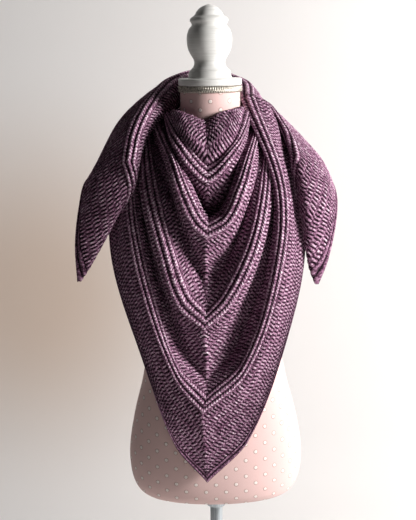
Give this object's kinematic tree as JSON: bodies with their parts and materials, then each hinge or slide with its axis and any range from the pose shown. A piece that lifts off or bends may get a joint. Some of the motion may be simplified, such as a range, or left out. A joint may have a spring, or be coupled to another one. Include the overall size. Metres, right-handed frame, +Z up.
{
  "type": "triangle shawl on dress form",
  "caption": "Knitted triangle shawl worn point-down with its tails crossed at the nape and brought forward, on a limbless dress form with a turned cap on a pole and round base.",
  "frame": {"origin": "middle of the round base's flat underside, on the pole's axis", "axes": "+Z up along the pole, +X to the viewer's right, and the shawl's point hangs at the front, towards -Y"},
  "size_m": [0.5041, 0.34, 1.379],
  "materials": {
    "yarn": "heathered chunky yarn, textured knit with ribbed bands",
    "jersey": "stretched cotton jersey with white dots",
    "braid": "metallic braid trim",
    "painted_wood": "satin white paint on turned wood",
    "pole_steel": "bright drawn tube",
    "base_paint": "satin white paint"
  },
  "bodies": {
    "root": {"shawl_front": "yarn", "shawl_tail_left": "yarn", "shawl_tail_right": "yarn", "form_body": "jersey", "form_neck_braid": "braid", "form_neck_cap": "painted_wood", "form_finial": "painted_wood", "stand_socket": "pole_steel", "stand_pole": "pole_steel", "stand_base": "base_paint"}
  },
  "joints": []
}
